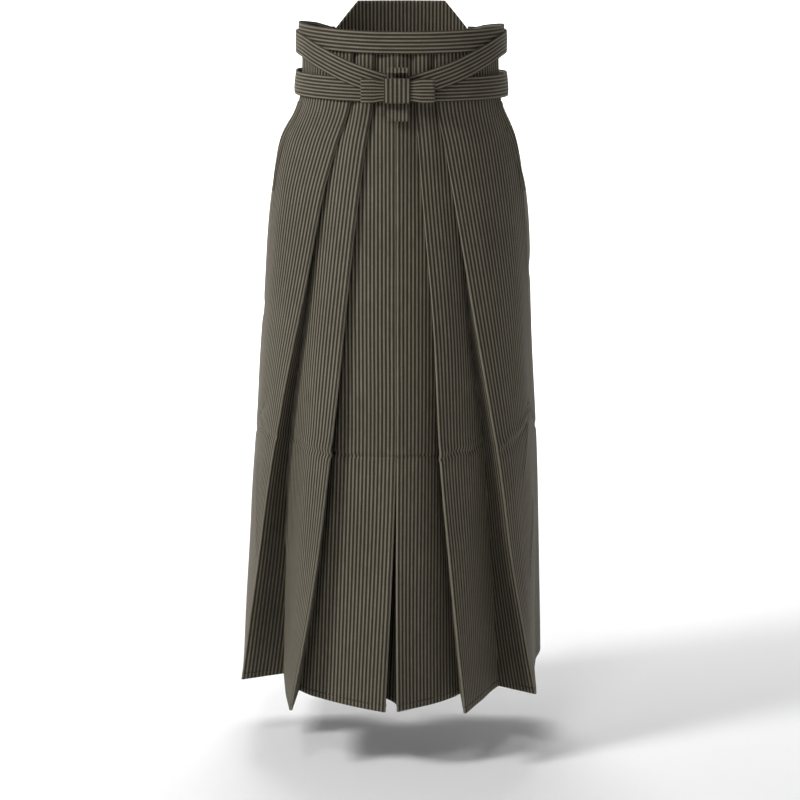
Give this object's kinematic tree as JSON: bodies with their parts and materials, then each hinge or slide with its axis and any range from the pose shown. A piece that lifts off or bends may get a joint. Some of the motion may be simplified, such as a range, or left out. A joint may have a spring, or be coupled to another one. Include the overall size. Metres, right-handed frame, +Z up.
{
  "type": "hakama trousers",
  "caption": "Divided pleated hakama in its worn, hollow form, with front bands, stiff back board and a flat bow tied in front.",
  "frame": {"origin": "middle of the waist, level with the middle of the front band, where the wearer's waist holds the garment up", "axes": "+Z up, -Y the garment's front, -X the wearer's right leg"},
  "size_m": [0.4454, 0.3507, 0.9862],
  "materials": {
    "panel_cloth": "fine vertical stripe of grey olive and brown black, matt with a faint sheen",
    "inner_cloth": "the same striped cloth, unlined",
    "tie_cloth": "the same cloth folded with its stripes lengthwise, pressed flat",
    "board_cloth": "the same cloth over a stiff board"
  },
  "bodies": {
    "root": {"front_panel_right": "panel_cloth", "front_panel_left": "panel_cloth", "back_panel_right": "panel_cloth", "back_panel_left": "panel_cloth", "side_fold_right": "panel_cloth", "side_fold_left": "panel_cloth", "gusset": "inner_cloth", "front_tie_upper": "tie_cloth", "front_tie_lower": "tie_cloth", "back_tie_right": "tie_cloth", "back_tie_left": "tie_cloth", "back_board": "board_cloth", "bow_bar": "tie_cloth", "bow_loops": "tie_cloth", "bow_wrap": "tie_cloth"}
  },
  "joints": []
}
